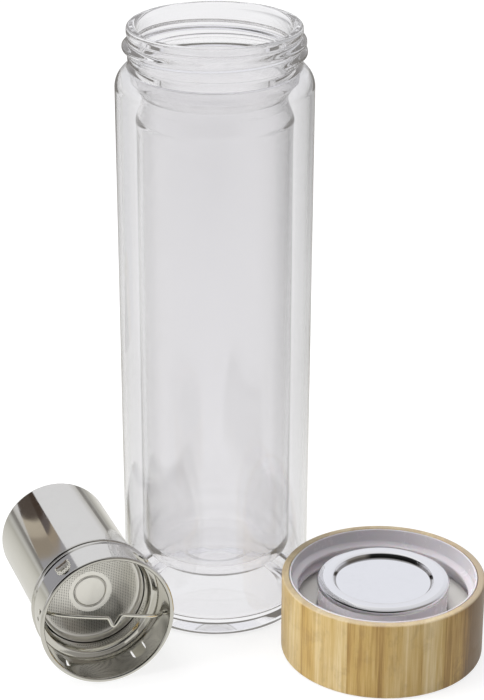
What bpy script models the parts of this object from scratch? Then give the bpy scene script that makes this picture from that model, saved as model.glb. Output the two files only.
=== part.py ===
"""Tea infuser bottle: a double-walled glass bottle, its bamboo screw lid and its steel infuser.

Lengths are in metres. The bottle stands; the lid lies beside it on its top face, open side up,
and the infuser lies on its side with its mouth towards the front. Each assembly is modelled
upright in its own frame and then laid where it belongs by the empty that carries it.
"""

import math

import bmesh
import bpy
from mathutils import Matrix, Vector

# Shared clearances and finish of the round shapes
fit_gap = 0.0002
running_gap = 0.0003
overrun = 0.0004
round_steps = 36
small_round_steps = 20
smooth_angle = math.radians(35)

# Glass vessel: the inner wall, the neck and the mouth
bottle_height = 0.2188
rim_radius = 0.0300
rim_round = 0.0015
rim_band = 0.0034
finish_radius = 0.0297
neck_radius = 0.0287
neck_bore = 0.0262
neck_top_drop = 0.0112
vessel_wall = 0.0017
vessel_radius = 0.0269
waist_bore = 0.0236
waist_height = 0.1950
bulge_radius = 0.0272
bulge_height = 0.1868
bulge_foot_height = 0.1815
vessel_floor_height = 0.0190
vessel_corner = 0.0080
vessel_floor_dome = 0.0006

# Screw thread on the neck
thread_crest_radius = 0.0315
thread_pitch = 0.0042
thread_foot_width = 0.0040
thread_crest_width = 0.0014
thread_drop = 0.0072
thread_turns = 1.25
thread_run_out_turns = 0.12
thread_offset_share = 0.37
thread_start_turn = -0.125

# Glass jacket: the outer wall, fused to the neck at its shoulder
jacket_radius = 0.03415
jacket_foot_radius = 0.0335
jacket_wall = 0.0016
shoulder_height = 0.2059
shoulder_drop = 0.0082
foot_round = 0.0030
foot_ring_inner_radius = 0.0265
punt_slope = 0.0020
punt_height = 0.0015
jacket_floor_height = 0.0040
jacket_inner_corner = 0.0050

# Glass seal that closes the space between the two walls
seal_stem_radius = 0.0029
seal_head_radius = 0.0044
seal_head_thickness = 0.0008
seal_dome = 0.0012

# Lid: turned bamboo cap
lid_radius = 0.0360
lid_height = 0.0294
cap_top_round = 0.0012
cap_rim_round = 0.0006
cap_bore = 0.0335
cap_bore_depth = 0.0170

# Lid: moulded liner with the inner thread and the boss that carries the steel plug
liner_wall = 0.0007
liner_floor = 0.0025
liner_foot_chamfer = 0.0006
boss_inset = 0.0004
liner_thread_crest_radius = 0.0306
liner_thread_drop = 0.0052
liner_thread_turns = 1.75
liner_thread_start_turn = 0.25

# Lid: silicone gasket in the channel
gasket_thickness = 0.0016
gasket_round = 0.0004

# Lid: polished steel plug pressed over the boss
plug_radius = 0.0235
plug_sheet = 0.0005
plug_rim_height = 0.0021
plug_set_back = 0.0005
plug_edge_round = 0.0012
plug_recess_radius = 0.0181
plug_recess_slope = 0.0009
plug_recess_depth = 0.0014

# Infuser: collar, pressed from sheet, with its lip, bead, shoulder and skirt
infuser_length = 0.0748
lip_radius = 0.0240
lip_height = 0.0013
lip_crown = 0.0006
collar_radius = 0.0229
collar_sheet = 0.0005
collar_bead_drop = 0.0146
collar_bead_half_width = 0.0008
collar_bead_height = 0.0004
shoulder_inset = 0.0010
shoulder_dip = 0.0003
skirt_length = 0.0264
skirt_ledge = 0.0009

# Infuser: spring tongues that grip below the waist of the glass
tongue_spread = math.radians(38)
tongue_pair_turn = math.radians(87)
tongue_width = 0.0042
tongue_slot = 0.0008
tongue_root_drop = 0.0114
tongue_length = 0.0056
tongue_lean = 0.0012
tongue_tip_round_share = 0.45

# Infuser: basket of perforated sheet, and its base
basket_radius = 0.0203
basket_sheet = 0.00035
basket_rim_radius = 0.0230
basket_rim_height = 0.0016
basket_flare_height = 0.0013
basket_curl = 0.0015
base_sheet = 0.0004
base_lift = 0.0006
base_flange_height = 0.0030
base_flange_round = 0.0009

# Infuser: strainer plate on the ledge of the skirt
plate_sheet = 0.0004
plate_flange_height = 0.0030
plate_edge_round = 0.0008
plate_dome = 0.0010
plate_centre_radius = 0.0076
plate_ring_radius = 0.0058
plate_ring_half_width = 0.0004
plate_ring_depth = 0.0002

# Infuser: wire handle and the holes it turns in
wire_radius = 0.00065
handle_drop = 0.0065
handle_arch = 0.0110
handle_wall_gap = 0.0007
handle_peg_reach = 0.0004
handle_turn = math.radians(349.2)
handle_rest_angle = math.radians(73.7)
handle_points = 44
kink_width = 0.0050
kink_depth = 0.0032
kink_offset = 0.0016
second_hole_radius = 0.0008
second_hole_drop = 0.0080
second_hole_turn = math.radians(8.5)

# How the three assemblies stand: measured from the axis of the bottle
bottle_x = -0.00785
bottle_y = 0.0205
lid_distance = 0.0713
lid_direction = math.radians(-33.3)
infuser_mouth_x = -0.0373
infuser_mouth_y = -0.0612
infuser_heading = math.radians(-71.5)


def material(name, colour, roughness, metallic=0.0, transmission=0.0):
    finish = bpy.data.materials.new(name)
    finish.use_nodes = True
    shader = finish.node_tree.nodes["Principled BSDF"]
    shader.inputs["Base Color"].default_value = (*colour, 1.0)
    shader.inputs["Roughness"].default_value = roughness
    shader.inputs["Metallic"].default_value = metallic
    shader.inputs["Transmission Weight"].default_value = transmission
    return finish


def carrier(name, place=Matrix.Identity(4)):
    """An empty that holds one assembly at its place."""
    empty = bpy.data.objects.new(name, None)
    bpy.context.collection.objects.link(empty)
    empty.matrix_world = place
    return empty


def add_object(name, data, parent, finish=None):
    made = bpy.data.objects.new(name, data)
    bpy.context.collection.objects.link(made)
    made.parent = parent
    if finish:
        data.materials.append(finish)
    return made


def close_mesh(name, shape):
    """Turns a bmesh into a mesh whose faces point out and whose round sides shade smooth."""
    bmesh.ops.recalc_face_normals(shape, faces=shape.faces)
    mesh = bpy.data.meshes.new(name)
    shape.to_mesh(mesh)
    shape.free()
    mesh.shade_smooth()
    mesh.set_sharp_from_angle(angle=smooth_angle)
    return mesh


def turned(name, outline, parent, finish, steps=round_steps):
    """Spins an outline of (radius, height) points once round the vertical axis."""
    shape = bmesh.new()
    corners = [shape.verts.new((radius, 0, height)) for radius, height in outline]
    edges = [shape.edges.new(pair) for pair in zip(corners, corners[1:])]
    if outline[0][0] or outline[-1][0]:
        edges.append(shape.edges.new((corners[-1], corners[0])))
    bmesh.ops.spin(
        shape,
        geom=corners + edges,
        cent=(0, 0, 0),
        axis=(0, 0, 1),
        angle=2 * math.pi,
        steps=steps,
        use_merge=True,
    )
    bmesh.ops.remove_doubles(shape, verts=shape.verts, dist=fit_gap / 100)
    return add_object(name, close_mesh(name, shape), parent, finish)


def arc(centre, reach, start, end, steps):
    """Points on an arc about centre; reach is one radius, or a pair for an ellipse; degrees."""
    across, up = reach if isinstance(reach, tuple) else (reach, reach)
    turns = [math.radians(start + (end - start) * step / steps) for step in range(steps + 1)]
    return [(centre[0] + across * math.cos(t), centre[1] + up * math.sin(t)) for t in turns]


def ease(start, end, steps):
    """Points from start to end that leave and arrive upright, without the start itself."""
    points = []
    for step in range(1, steps + 1):
        share = step / steps
        eased = (1 - math.cos(math.pi * share)) / 2
        points.append((start[0] + (end[0] - start[0]) * eased, start[1] + (end[1] - start[1]) * share))
    return points


def sheet(path, thickness):
    """The closed outline of a bent sheet whose middle follows path, from one end to the other."""
    sides = ([], [])
    for index, (radius, height) in enumerate(path):
        before = Vector(path[max(index - 1, 0)])
        after = Vector(path[min(index + 1, len(path) - 1)])
        here = Vector((radius, height))
        into = (here - before).normalized() if index else (after - here).normalized()
        out = (after - here).normalized() if index < len(path) - 1 else into
        along = (into + out).normalized()
        across = Vector((along.y, -along.x)) * thickness / 2 / max(along.dot(into), 0.5)
        if radius == 0:
            across.x = 0
        sides[0].append(tuple(here + across))
        sides[1].append(tuple(here - across))
    return sides[0] + sides[1][::-1]


def helix_ridge(name, parent, root_radius, crest_radius, top, start_turn, turns):
    """A screw ridge that rises to the right, with ends that run out into the wall."""
    steps = round(turns * round_steps)
    first = round(start_turn * round_steps)
    rings = []
    shape = bmesh.new()
    inwards = 1 if crest_radius < root_radius else -1
    buried = root_radius + inwards * overrun
    for step in range(steps + 1):
        turn = turns * step / steps
        rise = min(1.0, turn / thread_run_out_turns, (turns - turn) / thread_run_out_turns)
        rise = math.sin(rise * math.pi / 2)
        crest = buried + (crest_radius - buried) * max(rise, overrun / abs(crest_radius - buried) / 2)
        height = top - thread_pitch * (turns - turn)
        angle = 2 * math.pi * (first + step + thread_offset_share) / round_steps
        section = (
            (buried, -thread_foot_width / 2),
            (crest, -thread_crest_width / 2),
            (crest, thread_crest_width / 2),
            (buried, thread_foot_width / 2),
        )
        rings.append(
            [
                shape.verts.new((radius * math.cos(angle), radius * math.sin(angle), height + up))
                for radius, up in section
            ]
        )
    for here, there in zip(rings, rings[1:]):
        for side in range(len(here)):
            following = (side + 1) % len(here)
            shape.faces.new((here[side], here[following], there[following], there[side]))
    shape.faces.new(rings[0])
    shape.faces.new(rings[-1][::-1])
    return helper(add_object(name, close_mesh(name, shape), parent))


def helper(made):
    """Marks an object that only cuts or joins, so that it's no piece of its own."""
    made.hide_render = True
    made.display_type = "WIRE"
    return made


def combine(body, operation, tool):
    change = body.modifiers.new(tool.name, "BOOLEAN")
    change.operation = operation
    change.object = tool
    change.solver = "EXACT"


def upright_prism(name, parent, outline, depth, place):
    """A flat outline in its own X and Y, given a depth along Z, and put at place."""
    shape = bmesh.new()
    face = shape.faces.new([shape.verts.new((x, y, -depth / 2)) for x, y in outline])
    pushed = bmesh.ops.extrude_face_region(shape, geom=[face])["geom"]
    bmesh.ops.translate(
        shape, vec=(0, 0, depth), verts=[item for item in pushed if isinstance(item, bmesh.types.BMVert)]
    )
    made = helper(add_object(name, close_mesh(name, shape), parent))
    made.matrix_local = place
    return made


def on_collar(angle, radius, height):
    """A frame on the collar: X round it, Y up along it, Z outwards from its axis."""
    outward = Vector((math.cos(angle), math.sin(angle), 0))
    around = Vector((-math.sin(angle), math.cos(angle), 0))
    frame = Matrix((around, Vector((0, 0, 1)), outward)).transposed().to_4x4()
    frame.translation = outward * radius + Vector((0, 0, height))
    return frame


def rounded_end(width, length, round_share, steps=5):
    """A strip from y = 0 to y = length whose far end is rounded."""
    half = width / 2
    tip = width * round_share
    points = [(-half, 0), (half, 0)]
    points += arc((half - tip, length - tip), tip, 0, 90, steps)
    points += arc((tip - half, length - tip), tip, 90, 180, steps)
    return points


def make_vessel(parent, finish):
    """The inner glass: mouth, threaded neck, waist for the infuser, and the body that holds the tea."""
    neck_top = bottle_height - neck_top_drop
    neck_foot = shoulder_height - jacket_wall - overrun
    body_bore = vessel_radius - vessel_wall
    waist_radius = waist_bore + vessel_wall
    corner_centre = (vessel_radius - vessel_corner, vessel_floor_height + vessel_corner)
    outline = arc((rim_radius - rim_round, bottle_height - rim_round), rim_round, 90, 0, 2)
    outline += [
        (finish_radius, bottle_height - rim_band),
        (finish_radius, neck_top),
        (neck_radius, neck_top - finish_radius + neck_radius),
        (neck_radius, neck_foot),
    ]
    outline += ease((neck_radius, neck_foot), (waist_radius, waist_height), 4)
    outline += ease((waist_radius, waist_height), (bulge_radius, bulge_height), 4)
    outline += ease((bulge_radius, bulge_height), (vessel_radius, bulge_foot_height), 2)
    outline += arc(corner_centre, vessel_corner, 0, -90, 5)
    outline += [(0, vessel_floor_height), (0, vessel_floor_height + vessel_wall + vessel_floor_dome)]
    outline += arc(corner_centre, vessel_corner - vessel_wall, -90, 0, 5)
    outline += [(body_bore, bulge_foot_height)]
    outline += ease((body_bore, bulge_foot_height), (bulge_radius - vessel_wall, bulge_height), 2)
    outline += ease((bulge_radius - vessel_wall, bulge_height), (waist_bore, waist_height), 4)
    outline += ease((waist_bore, waist_height), (neck_bore, neck_foot), 4)
    outline += arc((neck_bore + rim_round, bottle_height - rim_round), rim_round, 180, 90, 2)
    centre = outline.index((0, vessel_floor_height))
    wall = outline[centre + 1 :] + outline[: centre + 1]
    vessel = turned("inner_glass_vessel", wall, parent, finish)
    ridge = helix_ridge(
        "neck_thread_ridge",
        parent,
        finish_radius,
        thread_crest_radius,
        bottle_height - thread_drop + thread_turns * thread_pitch / 2,
        thread_start_turn,
        thread_turns,
    )
    combine(vessel, "UNION", ridge)
    return vessel


def make_jacket(parent, finish):
    """The outer glass, from the fused shoulder to the foot ring, with the vent in its base."""
    mouth = neck_radius + fit_gap
    shoulder_foot = shoulder_height - shoulder_drop
    vent = seal_stem_radius + running_gap
    foot_bore = jacket_foot_radius - jacket_wall
    reach = (jacket_radius - mouth, shoulder_drop)
    inner_reach = (reach[0] - jacket_wall, shoulder_drop - jacket_wall)
    outline = arc((mouth, shoulder_foot), reach, 90, 0, 6)
    outline += arc((jacket_foot_radius - foot_round, foot_round), foot_round, 0, -90, 4)
    outline += [
        (foot_ring_inner_radius, 0),
        (foot_ring_inner_radius - punt_slope, punt_height),
        (vent, punt_height),
        (vent, jacket_floor_height),
    ]
    corner = (foot_bore - jacket_inner_corner, jacket_floor_height + jacket_inner_corner)
    outline += arc(corner, jacket_inner_corner, -90, 0, 4)
    outline += arc((mouth, shoulder_foot), inner_reach, 0, 90, 5)
    return turned("outer_glass_jacket", outline, parent, finish)


def make_seal(parent, finish):
    """The glass tip that closes the vent after the two walls are fused."""
    head_top = punt_height - running_gap
    head_foot = head_top - seal_head_thickness
    outline = [(0, head_foot), (seal_head_radius - seal_head_thickness / 2, head_foot)]
    outline += [(seal_head_radius, head_foot + seal_head_thickness / 2)]
    outline += [(seal_head_radius - overrun / 2, head_top), (seal_stem_radius, head_top)]
    outline += [(seal_stem_radius, jacket_floor_height)]
    outline += arc((0, jacket_floor_height), (seal_stem_radius, seal_dome), 30, 90, 3)[:-1]
    outline += [(0, jacket_floor_height + seal_dome)]
    return turned("base_vent_seal", outline, parent, finish, small_round_steps)


def make_bamboo_cap(parent, finish):
    bore_floor = lid_height - cap_bore_depth
    outline = [(0, 0)]
    outline += arc((lid_radius - cap_top_round, cap_top_round), cap_top_round, -90, 0, 3)
    outline += arc((lid_radius - cap_rim_round, lid_height - cap_rim_round), cap_rim_round, 0, 90, 2)
    outline += [(cap_bore, lid_height), (cap_bore, bore_floor), (0, bore_floor)]
    return turned("bamboo_cap", outline, parent, finish)


def lid_levels():
    """Heights inside the lid that several of its pieces share."""
    liner_foot = lid_height - cap_bore_depth + fit_gap
    channel_floor = liner_foot + liner_floor
    plug_top = lid_height - plug_set_back
    return liner_foot, channel_floor, plug_top


def make_liner(parent, finish):
    """The moulded insert: a threaded wall round a channel, and a boss in the middle."""
    liner_foot, channel_floor, plug_top = lid_levels()
    outer = cap_bore - fit_gap
    bore = outer - liner_wall
    boss = plug_radius - boss_inset
    seat = plug_radius - plug_sheet - fit_gap
    seat_foot = plug_top - plug_rim_height - fit_gap
    seat_top = plug_top - plug_recess_depth - plug_sheet - fit_gap
    outline = [
        (0, liner_foot),
        (outer - liner_foot_chamfer, liner_foot),
        (outer, liner_foot + liner_foot_chamfer),
        (outer, lid_height),
        (bore, lid_height),
        (bore, channel_floor),
        (boss, channel_floor),
        (boss, seat_foot),
        (seat, seat_foot),
        (seat, seat_top),
        (0, seat_top),
    ]
    liner = turned("lid_liner", outline, parent, finish)
    ridge = helix_ridge(
        "liner_thread_ridge",
        parent,
        bore,
        liner_thread_crest_radius,
        lid_height - liner_thread_drop + thread_pitch / 2,
        liner_thread_start_turn,
        liner_thread_turns,
    )
    combine(liner, "UNION", ridge)
    return liner


def make_gasket(parent, finish):
    channel_floor = lid_levels()[1]
    foot = channel_floor + fit_gap
    top = foot + gasket_thickness
    inner = plug_radius - boss_inset + fit_gap
    outer = cap_bore - fit_gap - liner_wall - fit_gap
    outline = [
        (inner, top - gasket_round),
        (inner + gasket_round, top),
        (outer - gasket_round, top),
        (outer, top - gasket_round),
        (outer, foot),
        (inner, foot),
    ]
    return turned("lid_gasket", outline, parent, finish)


def make_plug(parent, finish):
    """The steel cap of the plug: a short rim, a rounded edge and a shallow dished centre."""
    plug_top = lid_levels()[2]
    middle = plug_radius - plug_sheet / 2
    crown = plug_top - plug_sheet / 2
    edge = plug_edge_round - plug_sheet / 2
    dish = plug_recess_radius - plug_recess_slope
    path = [(middle, plug_top - plug_rim_height)]
    path += arc((middle - edge, crown - edge), edge, 0, 90, 3)
    path += [
        (plug_recess_radius, crown),
        (dish, crown - plug_recess_depth),
        (0, crown - plug_recess_depth),
    ]
    return turned("steel_plug_cap", sheet(path, plug_sheet), parent, finish)


def shoulder_level():
    """Height of the middle of the sheet where the collar turns in above the basket's rim."""
    return infuser_length - collar_bead_drop - collar_bead_half_width - collar_sheet


def make_collar(parent, finish):
    """The collar: rolled lip, wall, bead and shoulder, and a skirt that carries the strainer plate."""
    top = infuser_length
    half = collar_sheet / 2
    middle = collar_radius - half
    lip = lip_radius - half
    shoulder = shoulder_level()
    skirt = basket_radius - basket_sheet - fit_gap - half
    path = [
        (lip, top - lip_height),
        (lip, top - lip_crown),
        ((lip + middle) / 2, top - half),
        (middle, top - lip_crown),
        (middle, top - collar_bead_drop + collar_bead_half_width),
        (middle + collar_bead_height, top - collar_bead_drop),
        (middle, top - collar_bead_drop - collar_bead_half_width),
        (middle - shoulder_inset, shoulder),
        (skirt + shoulder_inset, shoulder - shoulder_dip),
        (skirt, shoulder - shoulder_dip - shoulder_inset),
        (skirt, top - skirt_length + skirt_ledge),
        (skirt - skirt_ledge, top - skirt_length),
    ]
    collar = turned("infuser_collar", sheet(path, collar_sheet), parent, finish)
    root = top - tongue_root_drop
    lean = math.atan2(tongue_lean, tongue_length)
    window = rounded_end(tongue_width + 2 * tongue_slot, tongue_length + tongue_slot, tongue_tip_round_share)
    strip = rounded_end(tongue_width, tongue_length, tongue_tip_round_share)
    turns = [tongue_pair_turn + side * tongue_spread for side in (-1, 1)]
    turns += [turn + math.pi for turn in turns]
    for index, angle in enumerate(turns):
        place = on_collar(angle, middle, root)
        combine(
            collar,
            "DIFFERENCE",
            upright_prism(f"tongue_window_{index + 1}", parent, window, 4 * collar_sheet, place),
        )
        tongue = [(x, y if y else -collar_sheet) for x, y in strip]
        leaning = place @ Matrix.Rotation(lean, 4, "X")
        combine(
            collar,
            "UNION",
            upright_prism(f"spring_tongue_{index + 1}", parent, tongue, collar_sheet * 0.9, leaning),
        )
    for side in range(2):
        turn = handle_turn + math.pi * side
        combine(
            collar,
            "DIFFERENCE",
            hole(f"handle_hole_{side + 1}", parent, wire_radius + running_gap, turn, handle_drop),
        )
        combine(
            collar,
            "DIFFERENCE",
            hole(
                f"small_hole_{side + 1}",
                parent,
                second_hole_radius,
                turn + second_hole_turn,
                second_hole_drop,
            ),
        )
    return collar


def hole(name, parent, radius, turn, drop):
    outline = arc((0, 0), radius, 0, 360, 10)[:-1]
    place = on_collar(turn, collar_radius, infuser_length - drop)
    return upright_prism(name, parent, outline, 6 * collar_sheet, place)


def make_plate(parent, finish):
    """The strainer plate: a dished disc in the skirt, with a plain centre inside a pressed ring."""
    half = plate_sheet / 2
    flange = basket_radius - basket_sheet - fit_gap - collar_sheet - fit_gap - half
    ledge = infuser_length - skirt_length + skirt_ledge + collar_sheet
    edge = ledge + fit_gap + half
    crown = edge + plate_dome
    path = [
        (flange, edge + plate_flange_height),
        (flange, edge + plate_edge_round),
        (flange - plate_edge_round, edge),
        (flange - 2 * plate_edge_round, edge),
        (plate_centre_radius, crown),
        (plate_ring_radius + plate_ring_half_width, crown),
        (plate_ring_radius, crown - plate_ring_depth),
        (plate_ring_radius - plate_ring_half_width, crown),
        (0, crown),
    ]
    return turned("strainer_plate", sheet(path, plate_sheet), parent, finish)


def make_basket(parent, finish):
    """The basket wall: a rolled rim under the collar, a flare, a straight tube and a curled foot."""
    half = basket_sheet / 2
    middle = basket_radius - half
    rim = shoulder_level() - shoulder_dip - collar_sheet / 2 - fit_gap
    rim_middle = basket_rim_radius - half
    path = [
        (rim_middle - basket_rim_height / 2, rim - half),
        (rim_middle, rim - basket_rim_height / 2),
        (rim_middle - half, rim - basket_rim_height),
        (middle + half, rim - basket_rim_height - basket_flare_height / 2),
        (middle, rim - basket_rim_height - basket_flare_height),
    ]
    path += arc((middle - basket_curl, basket_curl + half), basket_curl, 0, -90, 3)
    return turned("basket_tube", sheet(path, basket_sheet), parent, finish)


def make_base(parent, finish):
    """The perforated base, seated on the curled foot of the basket."""
    half = base_sheet / 2
    flange = basket_radius - basket_sheet - fit_gap - half
    floor = basket_sheet + fit_gap + half
    path = [
        (flange, floor + base_flange_height),
        (flange, floor + basket_curl),
        (flange - base_flange_round, floor + base_lift),
        (flange - 2 * base_flange_round, floor + base_lift / 2),
        (0, floor + base_lift / 2),
    ]
    return turned("basket_base", sheet(path, base_sheet), parent, finish)


def handle_route():
    """Points of the wire in its own frame: X along the hinge, Y out of the bow, Z up."""
    bow = collar_radius - collar_sheet - handle_wall_gap - wire_radius
    peg = collar_radius + handle_peg_reach
    route = [(peg, 0, 0), (bow + wire_radius, 0, 0)]
    for step in range(handle_points + 1):
        turn = math.pi * step / handle_points
        across = bow * math.cos(turn)
        kink = max(0.0, 1 - (2 * (across - kink_offset) / kink_width) ** 2)
        route.append((across, handle_arch * math.sin(turn), kink_depth * math.sqrt(kink)))
    return route + [(-bow - wire_radius, 0, 0), (-peg, 0, 0)]


def make_handle(parent, finish):
    """The wire handle: a shallow bow with a finger kink, on pegs that turn in the collar."""
    wire = bpy.data.curves.new("infuser_handle", "CURVE")
    wire.dimensions = "3D"
    wire.bevel_depth = wire_radius
    wire.bevel_resolution = 1
    wire.use_fill_caps = True
    route = handle_route()
    spline = wire.splines.new("POLY")
    spline.points.add(len(route) - 1)
    for point, place in zip(spline.points, route):
        point.co = (*place, 1)
    spline.use_smooth = True
    return add_object("infuser_handle", wire, parent, finish)


def infuser_place():
    """Lays the infuser on its side, resting on the lip of its collar and the foot of its basket."""
    run = infuser_length - lip_height - basket_curl - basket_sheet / 2
    tilt = math.atan2(lip_radius - basket_radius, run)
    level = Vector((math.cos(infuser_heading), math.sin(infuser_heading), 0))
    along = level * math.cos(tilt) + Vector((0, 0, math.sin(tilt)))
    side = Vector((0, 0, 1)).cross(along).normalized()
    up = along.cross(side)
    place = Matrix((side, up, along)).transposed().to_4x4()
    lip_centre = Vector((bottle_x + infuser_mouth_x, bottle_y + infuser_mouth_y, 0))
    lip_centre.z = lip_radius * math.cos(tilt)
    place.translation = lip_centre - along * (infuser_length - lip_height)
    return place


def main():
    for old in list(bpy.data.objects):
        bpy.data.objects.remove(old, do_unlink=True)

    glass = material("clear_glass", (0.93, 0.96, 0.95), 0.02, transmission=1.0)
    bamboo = material("bamboo", (0.60, 0.41, 0.20), 0.45)
    plastic = material("liner_plastic", (0.72, 0.70, 0.74), 0.30)
    silicone = material("gasket_silicone", (0.55, 0.57, 0.55), 0.60)
    polished = material("polished_steel", (0.78, 0.78, 0.79), 0.08, metallic=1.0)
    brushed = material("infuser_steel", (0.66, 0.66, 0.66), 0.18, metallic=1.0)
    perforated = material("perforated_steel", (0.52, 0.52, 0.52), 0.30, metallic=1.0)

    bottle = carrier("bottle", Matrix.Translation((bottle_x, bottle_y, 0)))
    make_vessel(bottle, glass)
    make_jacket(bottle, glass)
    make_seal(bottle, glass)

    lid_x = bottle_x + lid_distance * math.cos(lid_direction)
    lid_y = bottle_y + lid_distance * math.sin(lid_direction)
    lid = carrier("lid", Matrix.Translation((lid_x, lid_y, 0)))
    make_bamboo_cap(lid, bamboo)
    make_liner(lid, plastic)
    make_gasket(lid, silicone)
    make_plug(lid, polished)

    place = infuser_place()
    infuser = carrier("infuser", place)
    make_collar(infuser, brushed)
    make_plate(infuser, perforated)
    basket = carrier("basket", place)
    make_basket(basket, brushed)
    make_base(basket, perforated)

    hinge = Matrix.Translation((0, 0, infuser_length - handle_drop))
    hinge = hinge @ Matrix.Rotation(handle_turn, 4, "Z") @ Matrix.Rotation(handle_rest_angle, 4, "X")
    handle = carrier("handle", place @ hinge)
    make_handle(handle, polished)


main()
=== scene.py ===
# %% [markdown]
# # A tea infuser bottle in glass, bamboo and steel
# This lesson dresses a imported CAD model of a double-walled tea bottle. The bottle stands with its lid off:
# the bamboo lid lies open side up at its right, and the steel infuser lies on its side at its left.
# The CAD solids are faceted, so each piece is turned again here with a fine outline and its own finish.

# %% Load the CAD model
import math

import bmesh
import bpy
import numpy as np
from mathutils import Matrix, Vector


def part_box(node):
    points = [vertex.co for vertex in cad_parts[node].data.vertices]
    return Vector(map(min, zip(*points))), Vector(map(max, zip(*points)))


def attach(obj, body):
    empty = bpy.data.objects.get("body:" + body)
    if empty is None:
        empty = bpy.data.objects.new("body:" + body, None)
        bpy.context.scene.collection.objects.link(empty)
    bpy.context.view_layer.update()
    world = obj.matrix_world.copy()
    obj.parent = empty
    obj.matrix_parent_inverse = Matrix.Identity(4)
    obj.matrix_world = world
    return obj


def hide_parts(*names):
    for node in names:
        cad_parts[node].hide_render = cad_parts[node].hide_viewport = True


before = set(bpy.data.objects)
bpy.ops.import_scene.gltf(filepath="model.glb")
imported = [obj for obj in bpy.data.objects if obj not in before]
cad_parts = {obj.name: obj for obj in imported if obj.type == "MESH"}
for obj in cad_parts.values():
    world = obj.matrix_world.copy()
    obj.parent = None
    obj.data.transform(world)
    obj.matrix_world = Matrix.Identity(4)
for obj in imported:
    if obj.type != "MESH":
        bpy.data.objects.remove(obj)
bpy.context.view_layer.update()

MM = 0.001
for node in sorted(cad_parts):
    low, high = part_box(node)
    print(f"{node:20s} {[round((b - a) / MM, 1) for a, b in zip(low, high)]} mm")

# %% [markdown]
# ## Where the three assemblies stand
# Bottle and lid stand upright, so only their place is needed. The infuser rests on the lip of its collar and on the
# foot of its basket, which are of different size, so its axis rises a little towards the lip. Working that tilt out
# from the two radii keeps both touching the table.

# %% Places of the assemblies
bottle_at = Matrix.Translation((-7.85 * MM, 20.5 * MM, 0))
lid_angle, lid_distance = math.radians(-33.3), 71.3 * MM
lid_at = bottle_at @ Matrix.Translation((lid_distance * math.cos(lid_angle), lid_distance * math.sin(lid_angle), 0))

infuser_length = 74.8
infuser_heading = math.radians(-71.5)
lip_place, lip_radius, lip_height = (-45.15, -40.7), 24.0, 1.3
tube_radius, tube_sheet, tube_curl = 20.3, 0.35, 1.5


def lying_infuser():
    run = infuser_length - lip_height - tube_curl - tube_sheet / 2
    tilt = math.atan2(lip_radius - tube_radius, run)
    level = Vector((math.cos(infuser_heading), math.sin(infuser_heading), 0))
    along = level * math.cos(tilt) + Vector((0, 0, math.sin(tilt)))
    side = Vector((0, 0, 1)).cross(along).normalized()
    place = Matrix((side, along.cross(side), along)).transposed().to_4x4()
    lip = Vector((*lip_place, lip_radius * math.cos(tilt))) * MM
    place.translation = lip - along * (infuser_length - lip_height) * MM
    return place


infuser_at = lying_infuser()
print("infuser axis", [round(v, 4) for v in infuser_at.col[2][:3]])

# %% [markdown]
# ## Camera
# The photograph was taken with a long lens from a little more than eight tenths of a metre, looking down at the
# bottle. Pitch, yaw, roll and place come from matching known rings of the object, such as mouth, shoulder and foot,
# so the view needs no lens shift.


# %% Camera
def in_scene(name, data):
    """An object for this data, linked to the scene."""
    made = bpy.data.objects.new(name, data)
    bpy.context.scene.collection.objects.link(made)
    return made


camera = in_scene("photo_camera", bpy.data.cameras.new("photo_camera"))
camera.data.sensor_fit = "VERTICAL"
camera.data.sensor_height = 36
camera.data.lens = 118.55
camera.data.clip_start = 0.01
pitch, yaw, roll = (math.radians(value) for value in (24.139, 0.292, 0.162))
ahead = Vector((math.sin(yaw) * math.cos(pitch), math.cos(yaw) * math.cos(pitch), -math.sin(pitch)))
level = ahead.cross(Vector((0, 0, 1))).normalized()
upright = level.cross(ahead)
right = level * math.cos(roll) + upright * math.sin(roll)
up = upright * math.cos(roll) - level * math.sin(roll)
view = Matrix((right, up, -ahead)).transposed().to_4x4()
from_bottle = Vector((0.005636, -0.75214, 0.43579))
view.translation = bottle_at @ from_bottle
camera.matrix_world = view
bpy.context.scene.camera = camera
print("camera height", round(view.translation.z, 3), "distance", round(from_bottle.length, 3))

# %% [markdown]
# ## Turning on the lathe
# Nearly every piece here is a body of revolution. An outline of (radius, height) points in millimetres is carried
# round the axis with NumPy, which is quick and lets a screw thread push single points in or out as they go
# round. A corner may carry a third number, the radius that rounds it, so that an outline reads like a drawing.
# Thin sheet is drawn by the path of its middle, and gets its two sides and round edges from that.
# The place goes into the mesh, as in the CAD model, so every object keeps its origin at the centre of the scene.


# %% Rounded outlines
def rounded(points, per_corner=6):
    """Replaces each corner that has a third number by an arc of that radius."""
    made = []
    for index, point in enumerate(points):
        if len(point) == 2 or point[2] == 0:
            made.append(tuple(point[:2]))
            continue
        here = Vector(point[:2])
        before = Vector(points[index - 1][:2]) - here
        after = Vector(points[(index + 1) % len(points)][:2]) - here
        half = before.angle(after) / 2
        longest = 0.499 * min(before.length, after.length)  # so that two neighbouring arcs never meet
        cut = min(point[2] / math.tan(half), longest)
        radius = cut * math.tan(half)
        start, end = here + before.normalized() * cut, here + after.normalized() * cut
        centre = here + (before.normalized() + after.normalized()).normalized() * radius / math.sin(half)
        first = math.atan2(*(start - centre).yx)
        turn = (math.atan2(*(end - centre).yx) - first + math.pi) % (2 * math.pi) - math.pi
        for step in range(per_corner + 1):
            angle = first + turn * step / per_corner
            made.append((centre.x + radius * math.cos(angle), centre.y + radius * math.sin(angle)))
    return made


def arc(centre, reach, start, end, steps=12):
    """Points on an arc; reach is a radius or a pair for an ellipse, angles in degrees."""
    wide, high = reach if isinstance(reach, tuple) else (reach, reach)
    turns = np.radians(np.linspace(start, end, steps + 1))
    return [(centre[0] + wide * math.cos(t), centre[1] + high * math.sin(t)) for t in turns]


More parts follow.
